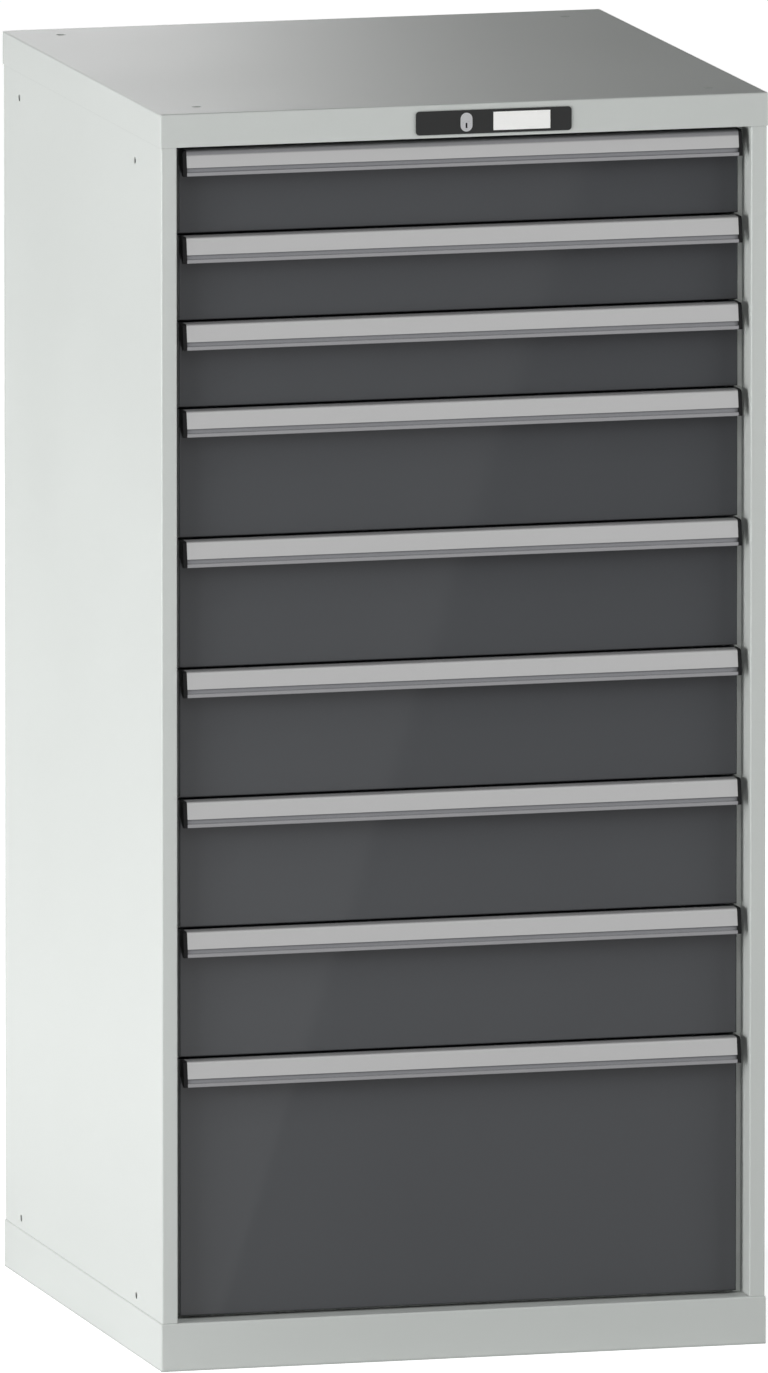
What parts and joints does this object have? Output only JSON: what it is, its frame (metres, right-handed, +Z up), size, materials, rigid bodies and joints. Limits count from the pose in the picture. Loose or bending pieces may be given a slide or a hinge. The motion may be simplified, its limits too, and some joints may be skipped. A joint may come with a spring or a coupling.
{
  "type": "drawer cabinet",
  "caption": "Tall sheet-steel cabinet of full-extension drawers with strip handles, under a top cover with a central lock in its fascia, on a plinth.",
  "frame": {"origin": "on the floor, under the middle of the cabinet's footprint", "axes": "+X to the right and +Y to the back, as seen by someone who faces the drawers, and +Z up"},
  "size_m": [0.717, 0.7273, 1.45],
  "materials": {
    "housing_paint": "satin",
    "front_paint": "satin",
    "handle_aluminium": "satin",
    "black_plastic": "matte",
    "zinc_steel": "satin",
    "lock_chrome": "polished",
    "card_white": "matte"
  },
  "bodies": {
    "cabinet": {"top_cover": "housing_paint", "plinth": "housing_paint", "side_panel_left": "housing_paint", "side_panel_right": "housing_paint", "back_panel": "housing_paint", "floor_panel": "housing_paint", "uprights": "housing_paint", "cabinet_rails": "zinc_steel", "lock_plate": "black_plastic", "name_card": "card_white", "lock_cylinder": "lock_chrome"},
    "drawer_1": {"drawer_1_tray": "housing_paint", "drawer_1_front": "front_paint", "drawer_1_handle": "handle_aluminium", "drawer_1_end_caps": "black_plastic"},
    "carriage_1": {"carriage_1": "zinc_steel"},
    "drawer_2": {"drawer_2_tray": "housing_paint", "drawer_2_front": "front_paint", "drawer_2_handle": "handle_aluminium", "drawer_2_end_caps": "black_plastic"},
    "carriage_2": {"carriage_2": "zinc_steel"},
    "drawer_3": {"drawer_3_tray": "housing_paint", "drawer_3_front": "front_paint", "drawer_3_handle": "handle_aluminium", "drawer_3_end_caps": "black_plastic"},
    "carriage_3": {"carriage_3": "zinc_steel"},
    "drawer_4": {"drawer_4_tray": "housing_paint", "drawer_4_front": "front_paint", "drawer_4_handle": "handle_aluminium", "drawer_4_end_caps": "black_plastic"},
    "carriage_4": {"carriage_4": "zinc_steel"},
    "drawer_5": {"drawer_5_tray": "housing_paint", "drawer_5_front": "front_paint", "drawer_5_handle": "handle_aluminium", "drawer_5_end_caps": "black_plastic"},
    "carriage_5": {"carriage_5": "zinc_steel"},
    "drawer_6": {"drawer_6_tray": "housing_paint", "drawer_6_front": "front_paint", "drawer_6_handle": "handle_aluminium", "drawer_6_end_caps": "black_plastic"},
    "carriage_6": {"carriage_6": "zinc_steel"},
    "drawer_7": {"drawer_7_tray": "housing_paint", "drawer_7_front": "front_paint", "drawer_7_handle": "handle_aluminium", "drawer_7_end_caps": "black_plastic"},
    "carriage_7": {"carriage_7": "zinc_steel"},
    "drawer_8": {"drawer_8_tray": "housing_paint", "drawer_8_front": "front_paint", "drawer_8_handle": "handle_aluminium", "drawer_8_end_caps": "black_plastic"},
    "carriage_8": {"carriage_8": "zinc_steel"},
    "drawer_9": {"drawer_9_tray": "housing_paint", "drawer_9_front": "front_paint", "drawer_9_handle": "handle_aluminium", "drawer_9_end_caps": "black_plastic"},
    "carriage_9": {"carriage_9": "zinc_steel"},
    "lock": {"lock_core": "lock_chrome", "lock_cam": "zinc_steel"},
    "lock_rod": {"lock_rod": "zinc_steel"},
    "locking_bar": {"locking_bar": "zinc_steel"}
  },
  "joints": [
    {"name": "drawer_1_slide", "type": "slide", "parent": "cabinet", "child": "drawer_1", "axis": [0, -1, 0], "range_m": [0, 0.612]},
    {"name": "carriage_1_slide", "type": "slide", "parent": "cabinet", "child": "carriage_1", "axis": [0, -1, 0], "range_m": [0, 0.306]},
    {"name": "drawer_2_slide", "type": "slide", "parent": "cabinet", "child": "drawer_2", "axis": [0, -1, 0], "range_m": [0, 0.612]},
    {"name": "carriage_2_slide", "type": "slide", "parent": "cabinet", "child": "carriage_2", "axis": [0, -1, 0], "range_m": [0, 0.306]},
    {"name": "drawer_3_slide", "type": "slide", "parent": "cabinet", "child": "drawer_3", "axis": [0, -1, 0], "range_m": [0, 0.612]},
    {"name": "carriage_3_slide", "type": "slide", "parent": "cabinet", "child": "carriage_3", "axis": [0, -1, 0], "range_m": [0, 0.306]},
    {"name": "drawer_4_slide", "type": "slide", "parent": "cabinet", "child": "drawer_4", "axis": [0, -1, 0], "range_m": [0, 0.612]},
    {"name": "carriage_4_slide", "type": "slide", "parent": "cabinet", "child": "carriage_4", "axis": [0, -1, 0], "range_m": [0, 0.306]},
    {"name": "drawer_5_slide", "type": "slide", "parent": "cabinet", "child": "drawer_5", "axis": [0, -1, 0], "range_m": [0, 0.612]},
    {"name": "carriage_5_slide", "type": "slide", "parent": "cabinet", "child": "carriage_5", "axis": [0, -1, 0], "range_m": [0, 0.306]},
    {"name": "drawer_6_slide", "type": "slide", "parent": "cabinet", "child": "drawer_6", "axis": [0, -1, 0], "range_m": [0, 0.612]},
    {"name": "carriage_6_slide", "type": "slide", "parent": "cabinet", "child": "carriage_6", "axis": [0, -1, 0], "range_m": [0, 0.306]},
    {"name": "drawer_7_slide", "type": "slide", "parent": "cabinet", "child": "drawer_7", "axis": [0, -1, 0], "range_m": [0, 0.612]},
    {"name": "carriage_7_slide", "type": "slide", "parent": "cabinet", "child": "carriage_7", "axis": [0, -1, 0], "range_m": [0, 0.306]},
    {"name": "drawer_8_slide", "type": "slide", "parent": "cabinet", "child": "drawer_8", "axis": [0, -1, 0], "range_m": [0, 0.612]},
    {"name": "carriage_8_slide", "type": "slide", "parent": "cabinet", "child": "carriage_8", "axis": [0, -1, 0], "range_m": [0, 0.306]},
    {"name": "drawer_9_slide", "type": "slide", "parent": "cabinet", "child": "drawer_9", "axis": [0, -1, 0], "range_m": [0, 0.612]},
    {"name": "carriage_9_slide", "type": "slide", "parent": "cabinet", "child": "carriage_9", "axis": [0, -1, 0], "range_m": [0, 0.306]},
    {"name": "lock_turn", "type": "hinge", "parent": "cabinet", "child": "lock", "pos_m": [0.0011, -0.3625, 1.42505], "axis": [0, 1, 0], "range_deg": [0, 90]},
    {"name": "lock_rod_slide", "type": "slide", "parent": "cabinet", "child": "lock_rod", "axis": [1, 0, 0], "range_m": [0, 0.0121]},
    {"name": "locking_bar_slide", "type": "slide", "parent": "cabinet", "child": "locking_bar", "axis": [0, 0, -1], "range_m": [0, 0.012]}
  ],
  "couplings": [
    {"joint": "carriage_1_slide", "follows": "drawer_1_slide", "ratio": 0.5},
    {"joint": "carriage_2_slide", "follows": "drawer_2_slide", "ratio": 0.5},
    {"joint": "carriage_3_slide", "follows": "drawer_3_slide", "ratio": 0.5},
    {"joint": "carriage_4_slide", "follows": "drawer_4_slide", "ratio": 0.5},
    {"joint": "carriage_5_slide", "follows": "drawer_5_slide", "ratio": 0.5},
    {"joint": "carriage_6_slide", "follows": "drawer_6_slide", "ratio": 0.5},
    {"joint": "carriage_7_slide", "follows": "drawer_7_slide", "ratio": 0.5},
    {"joint": "carriage_8_slide", "follows": "drawer_8_slide", "ratio": 0.5},
    {"joint": "carriage_9_slide", "follows": "drawer_9_slide", "ratio": 0.5},
    {"joint": "lock_rod_slide", "follows": "locking_bar_slide", "ratio": 1},
    {"joint": "lock_turn", "follows": "locking_bar_slide", "rad_per_m": 130.89}
  ]
}
